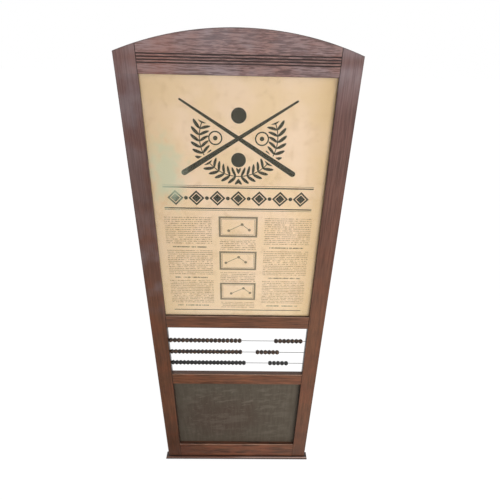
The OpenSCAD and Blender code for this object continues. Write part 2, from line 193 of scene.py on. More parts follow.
def outer_edge_shade(put, place, across, z):
    """Painted shade along the outer edges, down both sides and round the arch."""
    width, strength = 3 * MM, 0.5
    side = step_up(put, across, HALF_W - width, HALF_W)
    off = put("VectorMath", {0: place, 1: (0.0, 0.0, ARCH_MID_Z)}, operation="SUBTRACT")
    off = put("VectorMath", {0: off, 1: (1.0, 0.0, 1.0)}, operation="MULTIPLY")
    away = put("VectorMath", {0: off}, out=1, operation="LENGTH")
    arch = step_up(put, away, ARCH_R - width, ARCH_R)
    crest = put("Math", {0: z, 1: CREST_Z}, operation="GREATER_THAN")
    return all_of(put, any_of(put, side, all_of(put, arch, crest)), strength)


def groove_darkening(put, across, y, z):
    """Darkens the crest rail's grooves, from just behind its face to their bottoms."""
    strength = 0.9
    sunk = step_up(put, y, FACE_Y, FACE_Y + 0.8 * MM)
    in_front = put("Math", {0: y, 1: FACE_Y + GROOVE_DEEP}, operation="LESS_THAN")
    on_rail = put("Math", {0: across, 1: OPEN_HALF}, operation="LESS_THAN")
    row = band(put, z, GROOVE_LOW, GROOVE_HIGH, 0.5 * MM)
    return all_of(put, row, sunk, in_front, on_rail, strength)


def foot_dirt_and_shade(put, y, z, flat):
    """Dirt and painted shade where the frame meets the foot and on the foot's inner top, and painted
    shade low on its front.

    Flat is 1 where a face looks up.
    """
    front_strength = 0.85
    seam = near(put, z, FOOT_H + 2 * MM, 2.5 * MM)
    low = put("Math", {0: z, 1: 2 * FOOT_H}, operation="LESS_THAN")
    inner = step_up(put, y, FACE_Y - 5.5 * MM, FACE_Y - 3.5 * MM)
    front = step_up(put, z, FOOT_H - 0.4 * MM, FOOT_H - 1.6 * MM)
    return any_of(put, seam, all_of(put, low, flat, inner), all_of(put, front, front_strength))


def low_darkening_and_left_shade(put, x, z):
    """Darkens the lowest part, most of all at the left, where the extra darkness is painted shade."""
    right_strength, left_strength = 0.13, 0.3
    leftward = step_up(put, x, 60 * MM, -260 * MM)
    strength = put("MapRange", {"Value": leftward, "To Min": right_strength, "To Max": left_strength})
    return all_of(put, step_up(put, z, 320 * MM, 60 * MM), strength)


def oak_dirt_and_shade(put, place, rise):
    """How dark the oak is made, 0 to 1: the strongest of the kinds above, some dirt and some painted
    shade, and of the painted shade on faces that look up.
    """
    ledge_strength = 0.6
    x, y, z = (put("SeparateXYZ", {0: place}, out=i) for i in range(3))
    across = put("Math", {0: x}, operation="ABSOLUTE")
    flat = step_up(put, rise, 0.9, 0.98)
    # Painted shade on faces that look up, between the foot and the crest.
    ledge_shade = all_of(put, flat, up_to_crest(put, z), ledge_strength)
    return any_of(put, joint_dirt(put, across, z), foot_dirt_and_shade(put, y, z, flat),
                  outer_edge_shade(put, place, across, z), groove_darkening(put, across, y, z), ledge_shade,
                  low_darkening_and_left_shade(put, x, z))


def oak_stain(put, place, below_painted_sheen, stretch, figure, coarse):
    """Stain that took in broad streaks along the grain, with darker seams between them."""
    # Higher up these colours are greyer and more purple: a painted sheen of reflected light.
    dark = layered(put, linear("#3e211d"), [(below_painted_sheen, linear("#452c1d"))])
    light = layered(put, linear("#6e453c"), [(below_painted_sheen, linear("#80553c"))])
    broad = streaks(put, place, stretch, coarse * 8 * MM, distortion=0.6)
    broad = put("MapRange", {"Value": broad, "From Min": 0.3, "From Max": 0.7,
                             "To Min": 0.5 - figure / 2, "To Max": 0.5 + figure / 2})
    seams = streaks(put, place, stretch, coarse * 5 * MM, detail=4.0, distortion=0.3)
    seams = all_of(put, step_up(put, seams, 0.5, 0.6), figure * 0.55)
    return layered(put, dark, [(broad, light), (seams, linear("#2c160f"))])


def cloudy_bloom_and_sheen(put, x, z, fibres, cloudy, fibre):
    """Grey clouds over the top, lower down at the left, and half way down the left side: partly the
    polish's bloom, partly painted sheen of reflected light.
    """
    left_strength, slope, start_z, full_z = 0.7, 0.6, 1290 * MM, 1600 * MM
    start = put("Math", {0: x, 1: slope, 2: start_z}, operation="MULTIPLY_ADD")
    high = step_up(put, z, start, full_z)
    left = all_of(put, near(put, z, 1020 * MM, 310 * MM), step_up(put, x, -150 * MM, -250 * MM))
    reach = put("Math", {0: left, 1: left_strength, 2: high}, operation="MULTIPLY_ADD")
    veil = put("MapRange", {"Value": fibres, "To Min": 1 - fibre, "To Max": 1.0})
    clouds = put("MapRange", {"Value": cloudy, "From Min": 0.44, "From Max": 0.62,
                              "To Min": 0.08, "To Max": 0.5})
    return all_of(put, clouds, veil, reach)


def oak_bloom_and_sheen(put, x, z, fibres, cloudy, fibre):
    """How grey the polish looks, 0 to 1: partly its bloom, partly a painted sheen of reflected light.

    To the clouds come the stiles' tops, most of all the right one, where the painted sheen is
    strongest, and a patch of the crest left of its middle. Little of it shows on the grooves.
    """
    stile_strength, crest_strength, groove_strength = 0.26, 0.2, 0.2
    bloom = cloudy_bloom_and_sheen(put, x, z, fibres, cloudy, fibre)
    streaked = put("MapRange", {"Value": fibres, "To Min": 0.7, "To Max": 1.2})
    # Painted sheen on the stiles' tops, strongest at the right, where the light is stronger.
    by_side = put("MapRange", {"Value": x, "From Min": -HALF_W, "From Max": HALF_W,
                               "To Min": 0.0, "To Max": stile_strength})
    across = put("Math", {0: x}, operation="ABSOLUTE")
    on_stile = put("Math", {0: across, 1: OPEN_HALF}, operation="GREATER_THAN")
    stile_top = all_of(put, step_up(put, z, 1450 * MM, 1570 * MM), by_side, on_stile)
    bloom = put("Math", {0: stile_top, 1: streaked, 2: bloom}, operation="MULTIPLY_ADD")
    crest = put("Math", {0: z, 1: CREST_Z}, operation="GREATER_THAN")
    cool = all_of(put, near(put, x, -62 * MM, 75 * MM), crest, streaked)
    bloom = put("Math", {0: cool, 1: crest_strength, 2: bloom}, operation="MULTIPLY_ADD")
    grooved = near(put, z, (GROOVE_LOW + GROOVE_HIGH) / 2, 22 * MM)
    kept = put("MapRange", {"Value": grooved, "To Min": 1.0, "To Max": groove_strength})
    return all_of(put, bloom, kept)


def rubbed_and_lit_arrises(put, x, z, normal, fibres):
    """How pale the rails' upper arrises are, 0 to 1: partly rubbing by hands and cloths, partly a
    painted highlight where they face up.

    It is the rails' upper arrises, and a fainter painted highlight just under two of them. Arrises
    are where no part of the normal comes near 1, and the upper ones are where it points up a little.
    """
    line_w, line_strength = 2.5 * MM, 0.25
    rise = put("SeparateXYZ", {0: normal}, out=2)
    size = put("VectorMath", {0: normal}, operation="ABSOLUTE")
    widest = any_of(put, *(put("SeparateXYZ", {0: size}, out=i) for i in range(3)))
    arris = put("MapRange", {"Value": widest, "From Min": 0.995, "From Max": 0.86})
    uneven = put("MapRange", {"Value": fibres, "To Min": 0.35, "To Max": 0.9})
    rubbed = all_of(put, step_up(put, rise, 0.05, 0.4), arris, uneven, up_to_crest(put, z))
    across = put("Math", {0: x}, operation="ABSOLUTE")
    on_rail = put("Math", {0: across, 1: OPEN_HALF}, operation="LESS_THAN")
    for top in (SLATE_RAIL_TOP, BOTTOM_RAIL_TOP):
        under = near(put, z, top - line_w, line_w)
        rubbed = any_of(put, rubbed, all_of(put, under, on_rail, uneven, line_strength))
    return rubbed


def foot_highlight(put, x, y, z, rise):
    """Painted highlight on the outer part of the foot's top, 0 to 1: least at the left."""
    left_strength, right_strength = 0.12, 0.85
    above_foot = put("Math", {0: z, 1: 2 * FOOT_H}, operation="GREATER_THAN")
    top = put("Math", {0: step_up(put, rise, 0.75, 0.95), 1: above_foot}, operation="SUBTRACT")
    outer = step_up(put, y, FACE_Y - 4 * MM, FACE_Y - 6 * MM)
    by_side = put("MapRange", {"Value": step_up(put, x, -50 * MM, 60 * MM),
                               "To Min": left_strength, "To Max": right_strength})
    return put("Clamp", {"Value": all_of(put, top, outer, by_side)})


def polished_oak(put, stretch, figure, fibre, coarse=1.0, redness=0.45):
    """Oak, stained red-brown and french polished, a century old.

    The stain took unevenly, so streaks follow the grain. Figure says how bold the broad ones are,
    and fibre the fine ones, from 0 up. Coarse scales their widths, and redness says how much red
    shows where the stain took best. Higher up the colours are greyer and more purple: a painted
    sheen of reflected light, which fades out towards the floor. Pores are drawn coarser than real
    ones, which would be too fine to show. Over all this lie grey bloom with painted sheen, dirt with
    painted shade, and painted highlights on the upper edges and the foot.
    """
    place = put("TexCoord", out="Object")
    x, y, z = (put("SeparateXYZ", {0: place}, out=i) for i in range(3))
    normal = put("NewGeometry", out="Normal")
    rise = put("SeparateXYZ", {0: normal}, out=2)
    crest = put("Math", {0: z, 1: CREST_Z}, operation="GREATER_THAN")
    # 0 high up, where the colours are greyer and more purple as a painted sheen of reflected light, and 1
    # towards the floor.
    below_painted_sheen = put("MapRange", {"Value": z, "From Min": 1450 * MM, "From Max": 750 * MM})
    fibres = step_up(put, streaks(put, place, stretch, coarse * 3.2 * MM, detail=5.0), 0.4, 0.6)
    pores = step_up(put, streaks(put, place, stretch, 1.1 * MM, detail=2.0), 0.60, 0.72)
    pores = all_of(put, pores, 0.4)
    cloudy = patches(put, place, 85 * MM, detail=4.0)
    ruddy = patches(put, place, 70 * MM, detail=3.0, offset=(3.0, 1.0, 2.0))

    colour = layered(put, oak_stain(put, place, below_painted_sheen, stretch, figure, coarse), [
        (all_of(put, step_up(put, ruddy, 0.45, 0.7), redness, below_painted_sheen), linear("#77442f")),
        (all_of(put, fibres, fibre), layered(put, linear("#9c7468"), [(below_painted_sheen, linear("#a0603f"))])),
        (all_of(put, step_up(put, cloudy, 0.42, 0.66), 0.25), linear("#4a342a")),
        (pores, linear("#2a1710")),
        (all_of(put, near(put, x, -200 * MM, 110 * MM), crest, 0.35), linear("#a8705f")),
        # Grey bloom, partly painted sheen of reflected light.
        (oak_bloom_and_sheen(put, x, z, fibres, cloudy, fibre), linear("#9a8c90")),
        # Dirt and painted shade, in one dark colour.
        (oak_dirt_and_shade(put, place, rise), linear("#24130d")),
        # Painted highlight on the upper arrises, with some rubbing.
        (rubbed_and_lit_arrises(put, x, z, normal, fibres), linear("#b39075")),
        # Painted highlight on the foot's top.
        (foot_highlight(put, x, y, z, rise), linear("#cbaea1")),
    ])
    rough = put("MapRange", {"Value": cloudy, "From Min": 0.3, "From Max": 0.7,
                             "To Min": 0.34, "To Max": 0.5})
    height = put("Math", {0: fibres, 1: pores}, operation="SUBTRACT")
    relief = put("Bump", {"Strength": 0.6, "Distance": 0.25 * MM, "Height": height})
    return put("BsdfPrincipled", {
        "Base Color": colour, "Roughness": rough, "Normal": relief, "IOR": 1.5,
        "Coat Weight": 0.15, "Coat Roughness": 0.34})


def old_pine(put, stretch):
    """Pine, planed and left bare, darkened by age: plain straight grain with duller soft bands."""
    place = put("TexCoord", out="Object")
    bands = step_up(put, streaks(put, place, stretch, 9 * MM, distortion=0.4), 0.38, 0.62)
    fibres = streaks(put, place, stretch, 1.6 * MM, detail=4.0)
    dark = put("MapRange", {"Value": fibres, "From Min": 0.5, "From Max": 0.75, "To Max": 0.5})
    stains = all_of(put, step_up(put, patches(put, place, 120 * MM), 0.45, 0.75), 0.5)
    colour = layered(put, linear("#7d5a3c"), [
        (bands, linear("#a5805a")), (dark, linear("#5a3f2a")), (stains, linear("#6b5844"))])
    relief = put("Bump", {"Strength": 0.4, "Distance": 0.2 * MM, "Height": fibres})
    return put("BsdfPrincipled", {"Base Color": colour, "Roughness": 0.78, "Normal": relief, "IOR": 1.5})


def chalk_left(put, middle):
    """How much chalk the wipes have left, 0 to 1, in slanting sweeps and softer smudges.

    Most of it is high in the middle. Middle is the place from the board's own middle.
    """
    slant, smudge_strength = math.radians(9), 0.7
    slanted = put("Mapping", {"Vector": middle, "Rotation": (0.0, slant, 0.0)})
    sweeps = streaks(put, slanted, (0.3, 1.0, 1.0), 14 * MM, detail=5.0, distortion=0.6)
    smudges = streaks(put, slanted, (0.4, 1.0, 1.0), 24 * MM, detail=5.0)
    away = away_from(put, middle, (10 * MM, 0.0, 80 * MM), (140 * MM, 0.0, 80 * MM))
    high = put("MapRange", {"Value": away, "From Min": 1.2, "From Max": 0.3,
                            "To Min": 0.25, "To Max": 0.6}, interpolation_type="SMOOTHSTEP")
    sweeps = all_of(put, step_up(put, sweeps, 0.56, 0.72), high)
    smudges = all_of(put, step_up(put, smudges, 0.5, 0.64), high, smudge_strength)
    return any_of(put, sweeps, smudges)


def cloth_reach(put, middle):
    """Where a cloth reaches the board, 0 to 1: it stays clear of the frame on all four sides."""
    reached = []
    for axis, edge, inside in ((0, 243 * MM, 190 * MM), (2, 186 * MM, 130 * MM)):
        off = put("SeparateXYZ", {0: middle}, out=axis)
        off = put("Math", {0: off}, operation="ABSOLUTE")
        reached.append(put("MapRange", {"Value": off, "From Min": edge, "From Max": inside}))
    return all_of(put, *reached)


def blackboard_paint(put):
    """Matt blackboard paint on a board: charcoal, with chalk rubbed into it by years of wiping.

    The paint has rubbed browner left of the middle, and shows upright brush marks and flecks of
    chalk. Both are drawn coarser than real ones, which would be too fine to show. The back of the
    board was never painted.
    """
    place = put("TexCoord", out="Object")
    middle = put("Mapping", {"Vector": place, "Location": (0.0, 0.0, -SLATE_MID_Z)})
    clouds = patches(put, place, 70 * MM, detail=5.0)
    specks = patches(put, place, 5 * MM, detail=2.0)
    brush = streaks(put, place, (1.0, 1.0, 0.12), 9 * MM, detail=5.0, distortion=0.5)
    away = away_from(put, middle, (-70 * MM, 0.0, -30 * MM), (260 * MM, 0.0, 200 * MM))
    away = put("Math", {0: clouds, 1: 0.8, 2: away}, operation="MULTIPLY_ADD")

    bare = streaks(put, place, ALONG_GRAIN, 7 * MM, detail=4.0, distortion=0.4)
    bare = layered(put, linear("#6b4f38"), [(step_up(put, bare, 0.35, 0.65), linear("#927152"))])
    depth = put("SeparateXYZ", {0: place}, out=1)
    board_back = BACK_Y - 3.5 * MM
    behind = step_up(put, depth, board_back - 0.1 * MM, board_back + 0.1 * MM)
    colour = layered(put, linear("#4d3e32"), [
        (step_up(put, away, 0.6, 1.3), linear("#51483b")),
        (all_of(put, step_up(put, brush, 0.4, 0.62), 0.14), linear("#7a7062")),
        (all_of(put, chalk_left(put, middle), cloth_reach(put, middle)), linear("#857b6d")),
        (all_of(put, step_up(put, specks, 0.68, 0.74), 0.5), linear("#8d8678")),
        (behind, bare),
    ])
    relief = put("Bump", {"Strength": 0.25, "Distance": 0.2 * MM, "Height": specks})
    return put("BsdfPrincipled", {"Base Color": colour, "Roughness": 0.62, "Normal": relief, "IOR": 1.5})


def ebonised_wood(put):
    """Turned boxwood stained black and waxed: near black, with a satin sheen and fine tool rings.

    The two upper rows have gone browner than the bottom one. Pale patches are partly worn wood and partly
    painted highlights, tan on the upper rows and grey on the bottom one.
    """
    place = put("TexCoord", out="Object")
    rings = streaks(put, place, (1.0, 0.15, 0.15), 0.7 * MM, detail=2.0)
    # Pale patches: partly worn wood, partly painted highlight.
    wear_and_highlight = all_of(put, step_up(put, patches(put, place, 6 * MM, detail=3.0), 0.42, 0.7), 0.6)
    height = put("SeparateXYZ", {0: place}, out=2)
    upper = put("MapRange", {"Value": height, "From Min": 590 * MM, "From Max": 610 * MM})
    base = layered(put, linear("#121312"), [(upper, linear("#1c120d"))])
    # Colours of the pale patches, partly worn wood and partly painted highlight.
    worn = layered(put, linear("#3a3a37"), [(upper, linear("#7d5a3d"))])
    colour = layered(put, base, [(wear_and_highlight, worn)])
    relief = put("Bump", {"Strength": 0.3, "Distance": 0.1 * MM, "Height": rings})
    rough = put("MapRange", {"Value": rings, "To Min": 0.26, "To Max": 0.4})
    return put("BsdfPrincipled", {"Base Color": colour, "Roughness": rough, "Normal": relief, "IOR": 1.5})


def drawn_steel(put):
    """Drawn steel wire gone dull: grey metal with brown tarnish in patches."""
    place = put("TexCoord", out="Object")
    tarnish = step_up(put, patches(put, place, 9 * MM, detail=4.0), 0.45, 0.7)
    colour = layered(put, linear("#47423f"), [(tarnish, linear("#2f2721"))])
    rough = put("MapRange", {"Value": tarnish, "To Min": 0.55, "To Max": 0.75})
    return put("BsdfPrincipled", {"Base Color": colour, "Roughness": rough, "Metallic": 1.0})


def aged_brass(put):
    """Rolled brass sheet, once polished: yellow metal with a brown bloom and fine rubbing marks."""
    place = put("TexCoord", out="Object")
    bloom = step_up(put, patches(put, place, 14 * MM, detail=5.0), 0.4, 0.68)
    rubs = streaks(put, place, (0.08, 1.0, 1.0), 0.9 * MM, detail=3.0)
    colour = layered(put, linear("#b3904f"), [(bloom, linear("#6e5230"))])
    rough = put("MapRange", {"Value": rubs, "To Min": 0.28, "To Max": 0.5})
    relief = put("Bump", {"Strength": 0.15, "Distance": 0.1 * MM, "Height": rubs})
    return put("BsdfPrincipled", {"Base Color": colour, "Roughness": rough,
                                  "Metallic": 1.0, "Normal": relief})


def window_glass(put):
    """Drawn window glass: clear, with the faint green of old soda-lime glass. Lamps shine through."""
    clear = put("BsdfPrincipled", {
        "Base Color": linear("#fafdfb"), "Roughness": 0.02, "IOR": 1.5, "Transmission Weight": 1.0})
    open_way = put("BsdfTransparent", {"Color": linear("#fafdfb")})
    shadow = put("LightPath", out="Is Shadow Ray")
    return put("MixShader", {0: shadow, 1: clear, 2: open_way})


# What follows draws the sheet's print. Places on the sheet are (across, up, 0) in millimetres from its
# middle. Each shape gives the distance to its edge, less than zero inside.


def disc(put, spot, centre, radius):
    """Distance from the centre, less the radius."""
    away = put("VectorMath", {0: spot, 1: (*centre, 0.0)}, out=1, operation="DISTANCE")
    return put("Math", {0: away, 1: radius}, operation="SUBTRACT")


def block(put, spot, centre, half):
    """The larger of the distances past the half width and past the half height."""
    off = put("VectorMath", {0: spot, 1: (*centre, 0.0)}, operation="SUBTRACT")
    size = put("VectorMath", {0: off}, operation="ABSOLUTE")
    past = put("VectorMath", {0: size, 1: (*half, 0.0)}, operation="SUBTRACT")
    across, up = (put("SeparateXYZ", {0: past}, out=i) for i in range(2))
    return put("Math", {0: across, 1: up}, operation="MAXIMUM")


def lozenge(put, spot, centre, half):
    """Across over the half width plus up over the half height, less one, times the lesser half."""
    off = put("VectorMath", {0: spot, 1: (*centre, 0.0)}, operation="SUBTRACT")
    size = put("VectorMath", {0: off}, operation="ABSOLUTE")
    share = (1 / half[0], 1 / half[1], 0.0)
    total = put("VectorMath", {0: size, 1: share}, out=1, operation="DOT_PRODUCT")
    past = put("Math", {0: total, 1: 1.0}, operation="SUBTRACT")
    return put("Math", {0: past, 1: min(half)}, operation="MULTIPLY")


def taper(put, spot, end_a, end_b, radius_a, radius_b):
    """Distance from the line between two ends, less a radius that changes evenly along it."""
    line = Vector((*end_b, 0.0)) - Vector((*end_a, 0.0))
    off = put("VectorMath", {0: spot, 1: (*end_a, 0.0)}, operation="SUBTRACT")
    share = put("VectorMath", {0: off, 1: tuple(line / line.length_squared)}, out=1,
                operation="DOT_PRODUCT")
    share = put("Clamp", {"Value": share})
    foot = put("VectorMath", {0: tuple(line), "Scale": share}, operation="SCALE")
    away = put("VectorMath", {0: off, 1: foot}, out=1, operation="DISTANCE")
    radius = put("MapRange", {"Value": share, "To Min": radius_a, "To Max": radius_b})
    return put("Math", {0: away, 1: radius}, operation="SUBTRACT")


def outline(put, shape, line_w):
    """A line of that width, centred on the shape's edge."""
    away = put("Math", {0: shape}, operation="ABSOLUTE")
    return put("Math", {0: away, 1: line_w / 2}, operation="SUBTRACT")


def together(put, *shapes):
    """The union of shapes: the least of their distances."""
    whole = shapes[0]
    for shape in shapes[1:]:
        whole = put("Math", {0: whole, 1: shape}, operation="MINIMUM")
    return whole


def within(put, shape, limit):
    """The part of a shape that lies in another: the greater of the two distances."""
    return put("Math", {0: shape, 1: limit}, operation="MAXIMUM")


def without(put, shape, hole):
    """A shape with another cut out of it."""
    outside = put("Math", {0: hole, 1: -1.0}, operation="MULTIPLY")
    return within(put, shape, outside)


def inked(put, shape):
    """How dark the ink is: full inside the shape, with an edge 0.5 mm soft where it has spread."""
    return put("MapRange", {"Value": shape, "From Min": 0.25, "From Max": -0.25})


# Height at which the cues cross, with a ring of leaves round them
CUES_UP = 222.0


def crossed_cues(put, spot):
    """Two crossed cues, and a ball in each quarter. Both sides are alike, so spot is folded."""
    middle, end_low, end_high = (0.0, CUES_UP), (150.0, CUES_UP - 95.0), (150.0, CUES_UP + 95.0)
    butt_r, middle_r, tip_r = 8.0, 5.2, 2.6
    ball_r, shine_r, ring_r, ring_w, dot_r = 20.0, 4.0, 17.0, 3.6, 6.0
    butt = taper(put, spot, end_low, middle, butt_r, middle_r)
    tip = taper(put, spot, middle, end_high, middle_r, tip_r)
    balls = []
    for up in (CUES_UP + 58.0, CUES_UP - 58.0):
        shine = disc(put, spot, (-6.0, up + 7.0), shine_r)
        balls.append(without(put, disc(put, spot, (0.0, up), ball_r), shine))
    side = (62.0, CUES_UP)
    balls.append(outline(put, disc(put, spot, side, ring_r), ring_w))
    balls.append(disc(put, spot, side, dot_r))
    return together(put, butt, tip), together(put, *balls)


def leaf_ring(put, spot):
    """Pairs of leaves along a ring, open at the top. A leaf is an ellipse that leans away from it."""
    centre, radius, step = (0.0, CUES_UP, 0.0), 104.0, math.radians(9.0)
    lean, leaf, stem_half, open_to = 0.62, (4.8, 12.0), 1.3, math.radians(66)
    off = put("VectorMath", {0: spot, 1: centre}, operation="SUBTRACT")
    away = put("VectorMath", {0: off}, out=1, operation="LENGTH")
    across, up = (put("SeparateXYZ", {0: off}, out=i) for i in range(2))
    angle = put("Math", {0: across, 1: up}, operation="ARCTAN2")
    out_by = put("Math", {0: away, 1: radius}, operation="SUBTRACT")
    side = put("Math", {0: out_by}, operation="ABSOLUTE")
    slope = put("Math", {0: side, 1: lean / radius, 2: angle}, operation="MULTIPLY_ADD")
    share = put("Math", {0: slope, 1: 1 / step}, operation="MULTIPLY")
    share = put("Math", {0: share}, operation="FRACT")
    arc = put("Math", {0: share, 1: radius * step, 2: -radius * step / 2}, operation="MULTIPLY_ADD")
    reach = put("Math", {0: side, 1: leaf[1]}, operation="SUBTRACT")
    folded = put("CombineXYZ", {0: arc, 1: reach})
    folded = put("VectorMath", {0: folded, 1: (1 / leaf[0], 1 / leaf[1], 0.0)}, operation="MULTIPLY")
    leaves = put("VectorMath", {0: folded}, out=1, operation="LENGTH")
    leaves = put("Math", {0: leaves, 1: leaf[0], 2: -leaf[0]}, operation="MULTIPLY_ADD")
    stem = put("Math", {0: side, 1: stem_half}, operation="SUBTRACT")
    gap = put("Math", {0: open_to, 1: angle}, operation="SUBTRACT")
    gap = put("Math", {0: gap, 1: radius}, operation="MULTIPLY")
    return within(put, together(put, leaves, stem), gap)


def lozenge_row(put, across, up, height, pitch, half, reach):
    """A row of lozenges, each with a pale line inside, and a dot between neighbours."""
    ring_share, line_share, dot_share = 0.64, 0.13, 0.24
    turn = put("Math", {0: across, 1: pitch / 2}, operation="PINGPONG")
    level = put("Math", {0: up, 1: height}, operation="SUBTRACT")
    folded = put("CombineXYZ", {0: turn, 1: level})
    big = lozenge(put, folded, (0.0, 0.0), half)
    ring = lozenge(put, folded, (0.0, 0.0), (half[0] * ring_share, half[1] * ring_share))
    big = without(put, big, outline(put, ring, half[1] * line_share))
    dot = disc(put, folded, (pitch / 2, 0.0), half[1] * dot_share)
    end = put("Math", {0: across, 1: reach}, operation="SUBTRACT")
    return within(put, together(put, big, dot), end)


# Tables stand under one another down the middle of the sheet, at this pitch from this height
TABLE_PITCH, TABLE_TOP = 118.0, -2.0

# The part of the sheet that holds small print, and how far apart its lines are
PAGE_MIDDLE, PAGE_HALF, LINE_PITCH = (0.0, -172.0), (230.0, 172.0), 6.6


def shot_tables(put, across, up):
    """Billiard tables seen from above, one under another, each with three balls and a shot."""
    rail_half, bed_half, line_half, line_w = (58.0, 34.0), (52.0, 28.0), (49.0, 25.0), 1.0
    ball_r, shot_r, first, second, third = 4.4, 0.9, (-30.0, -9.0), (10.0, 12.0), (32.0, -6.0)
    middle_down, spread = 37.0, (22.0, 10.0, 0.0)
    down = put("Math", {0: TABLE_TOP, 1: up}, operation="SUBTRACT")
    which = put("Math", {0: down, 1: TABLE_PITCH}, operation="DIVIDE")
    number = put("Math", {0: which}, operation="FLOOR")
    share = put("Math", {0: which}, operation="FRACT")
    level = put("Math", {0: share, 1: -TABLE_PITCH, 2: middle_down}, operation="MULTIPLY_ADD")
    spot = put("CombineXYZ", {0: across, 1: level})
    rail, bed, line = (block(put, spot, (0.0, 0.0), half) for half in (rail_half, bed_half, line_half))
    chance = put("TexWhiteNoise", {"W": number}, out=1, noise_dimensions="1D")
    moved = put("VectorMath", {0: chance, 1: spread, 2: tuple(-s / 2 for s in spread)},
                operation="MULTIPLY_ADD")
    spot = put("VectorMath", {0: spot, 1: moved}, operation="SUBTRACT")
    balls = [disc(put, spot, centre, ball_r) for centre in (first, second, third)]
    shot = [taper(put, spot, a, b, shot_r, shot_r) for a, b in ((first, second), (second, third))]
    return together(put, without(put, rail, bed), outline(put, line, line_w), *balls, *shot)


def dashes_for_words(put, across, number):
    """Dashes along a line of small print: words with gaps, each broken into strokes."""
    spot = put("CombineXYZ", {0: across, 1: number})
    words = put("VectorMath", {0: spot, 1: (0.12, 7.3, 0.0)}, operation="MULTIPLY")
    words = put("TexNoise", {"Vector": words, "Scale": 1.0, "Detail": 1.0})
    strokes = put("VectorMath", {0: spot, 1: (0.55, 5.1, 0.0)}, operation="MULTIPLY")
    strokes = put("TexNoise", {"Vector": strokes, "Scale": 1.0, "Detail": 2.0})
    return all_of(put, step_up(put, words, 0.36, 0.39), step_up(put, strokes, 0.36, 0.56))


def printed_lines(put, across, up):
    """Small print as dashes with gaps, in two wide columns and under each table: (lines, headings).

    In the wide columns every seventeenth line is a heading, with an empty line on either side.
    """
    column_middle, column_half, table_half, heading_half, edge = 149.0, 70.0, 56.0, 52.0, 0.4
    heading_every, under_table = 17.0, 0.68
    rows = put("Math", {0: up, 1: LINE_PITCH}, operation="DIVIDE")
    number = put("Math", {0: rows}, operation="FLOOR")
    share = put("Math", {0: rows}, operation="FRACT")
    level = put("Math", {0: share, 1: 0.5}, operation="SUBTRACT")
    level = put("Math", {0: level}, operation="ABSOLUTE")
    level = put("Math", {0: level, 1: LINE_PITCH}, operation="MULTIPLY")

    wide = put("Math", {0: across}, operation="ABSOLUTE")
    off = put("Math", {0: wide, 1: column_middle}, operation="SUBTRACT")
    off = put("Math", {0: off}, operation="ABSOLUTE")
    column = put("MapRange", {"Value": off, "From Min": column_half + edge,
                              "From Max": column_half - edge})
    down = put("Math", {0: TABLE_TOP, 1: up}, operation="SUBTRACT")
    share = put("Math", {0: down, 1: 1 / TABLE_PITCH}, operation="MULTIPLY")
    share = put("Math", {0: share}, operation="FRACT")
    under = put("Math", {0: share, 1: under_table}, operation="GREATER_THAN")
    middle = put("MapRange", {"Value": wide, "From Min": table_half + edge,
                              "From Max": table_half - edge})

    turn = put("Math", {0: number, 1: heading_every / 2}, operation="PINGPONG")
    body = any_of(put, all_of(put, column, step_up(put, turn, 1.1, 1.4)), all_of(put, middle, under))
    thin = put("MapRange", {"Value": level, "From Min": 1.9, "From Max": 1.1})
    bold = put("MapRange", {"Value": level, "From Min": 2.3, "From Max": 1.7})
    head = put("Math", {0: turn, 1: 0.5}, operation="LESS_THAN")
    short = put("MapRange", {"Value": off, "From Min": heading_half + 0.5,
                             "From Max": heading_half - 0.5})
    page = block(put, put("CombineXYZ", {0: across, 1: up}), PAGE_MIDDLE, PAGE_HALF)
    dashes = all_of(put, dashes_for_words(put, across, number), inked(put, page))
    return all_of(put, body, thin, dashes), all_of(put, head, short, bold, dashes)


def old_paper(put, place, across, up, mottle):
    """Rag paper browned behind glass: yellower towards both sides, paler below, blotched and foxed."""
    wide = put("Math", {0: across}, operation="ABSOLUTE")
    clouds = patches(put, place, 110 * MM, detail=4.0)
    foxing = patches(put, place, 5 * MM, detail=2.0)
    low = put("MapRange", {"Value": up, "From Min": 60.0, "From Max": -340.0})
    by_side = put("MapRange", {"Value": across, "From Min": -200.0, "From Max": 240.0,
                               "To Min": 0.3, "To Max": 0.65})
    return layered(put, linear("#f3d0a9"), [
        (step_up(put, clouds, 0.35, 0.68), linear("#f9d7bb")),
        (all_of(put, low, 0.55), linear("#f8d9b6")),
        (all_of(put, step_up(put, wide, 150.0, 250.0), by_side), linear("#d6b07c")),
        (all_of(put, step_up(put, mottle, 0.5, 0.72), 0.3), linear("#d6ae84")),
        (all_of(put, step_up(put, foxing, 0.68, 0.78), 0.3), linear("#9c7048")),
    ])


def title_print(put, folded, up, mottle):
    """How dark the title's ink is, 0 to 1: cues, balls, leaves, lozenges and rules, a little worn."""
    wide = put("SeparateXYZ", {0: folded}, out=0)
    reach = 214.0
    rules = [block(put, folded, (0.0, height), (reach, half)) for height, half in
             ((84.0, 1.8), (89.5, 0.6), (20.0, 1.8), (14.5, 0.6), (-352.0, 1.2))]
    row = lozenge_row(put, wide, up, height=52.0, pitch=60.0, half=(23.0, 23.0), reach=204.0)
    cues, balls = crossed_cues(put, folded)
    round_cues = put("Math", {0: cues, 1: 4.0}, operation="SUBTRACT")
    leaves = without(put, leaf_ring(put, folded), round_cues)
    worn = put("MapRange", {"Value": mottle, "From Min": 0.3, "From Max": 0.7,
                            "To Min": 1.0, "To Max": 0.97})
    return all_of(put, inked(put, together(put, cues, balls, leaves, row, *rules)), worn)


def painted_glass_reflection(put, across, up, mottle):
    """Where a painted reflection in the glass lies as a pale greenish patch near the left edge, over
    paper and ink.
    """
    strength = 0.64
    flat = put("CombineXYZ", {0: across, 1: up})
    away = away_from(put, flat, (-200.0, 125.0, 0.0), (75.0, 150.0, 0.0))
    away = put("Math", {0: mottle, 1: 1.2, 2: away}, operation="MULTIPLY_ADD")
    return all_of(put, step_up(put, away, 1.5, 0.75), strength)


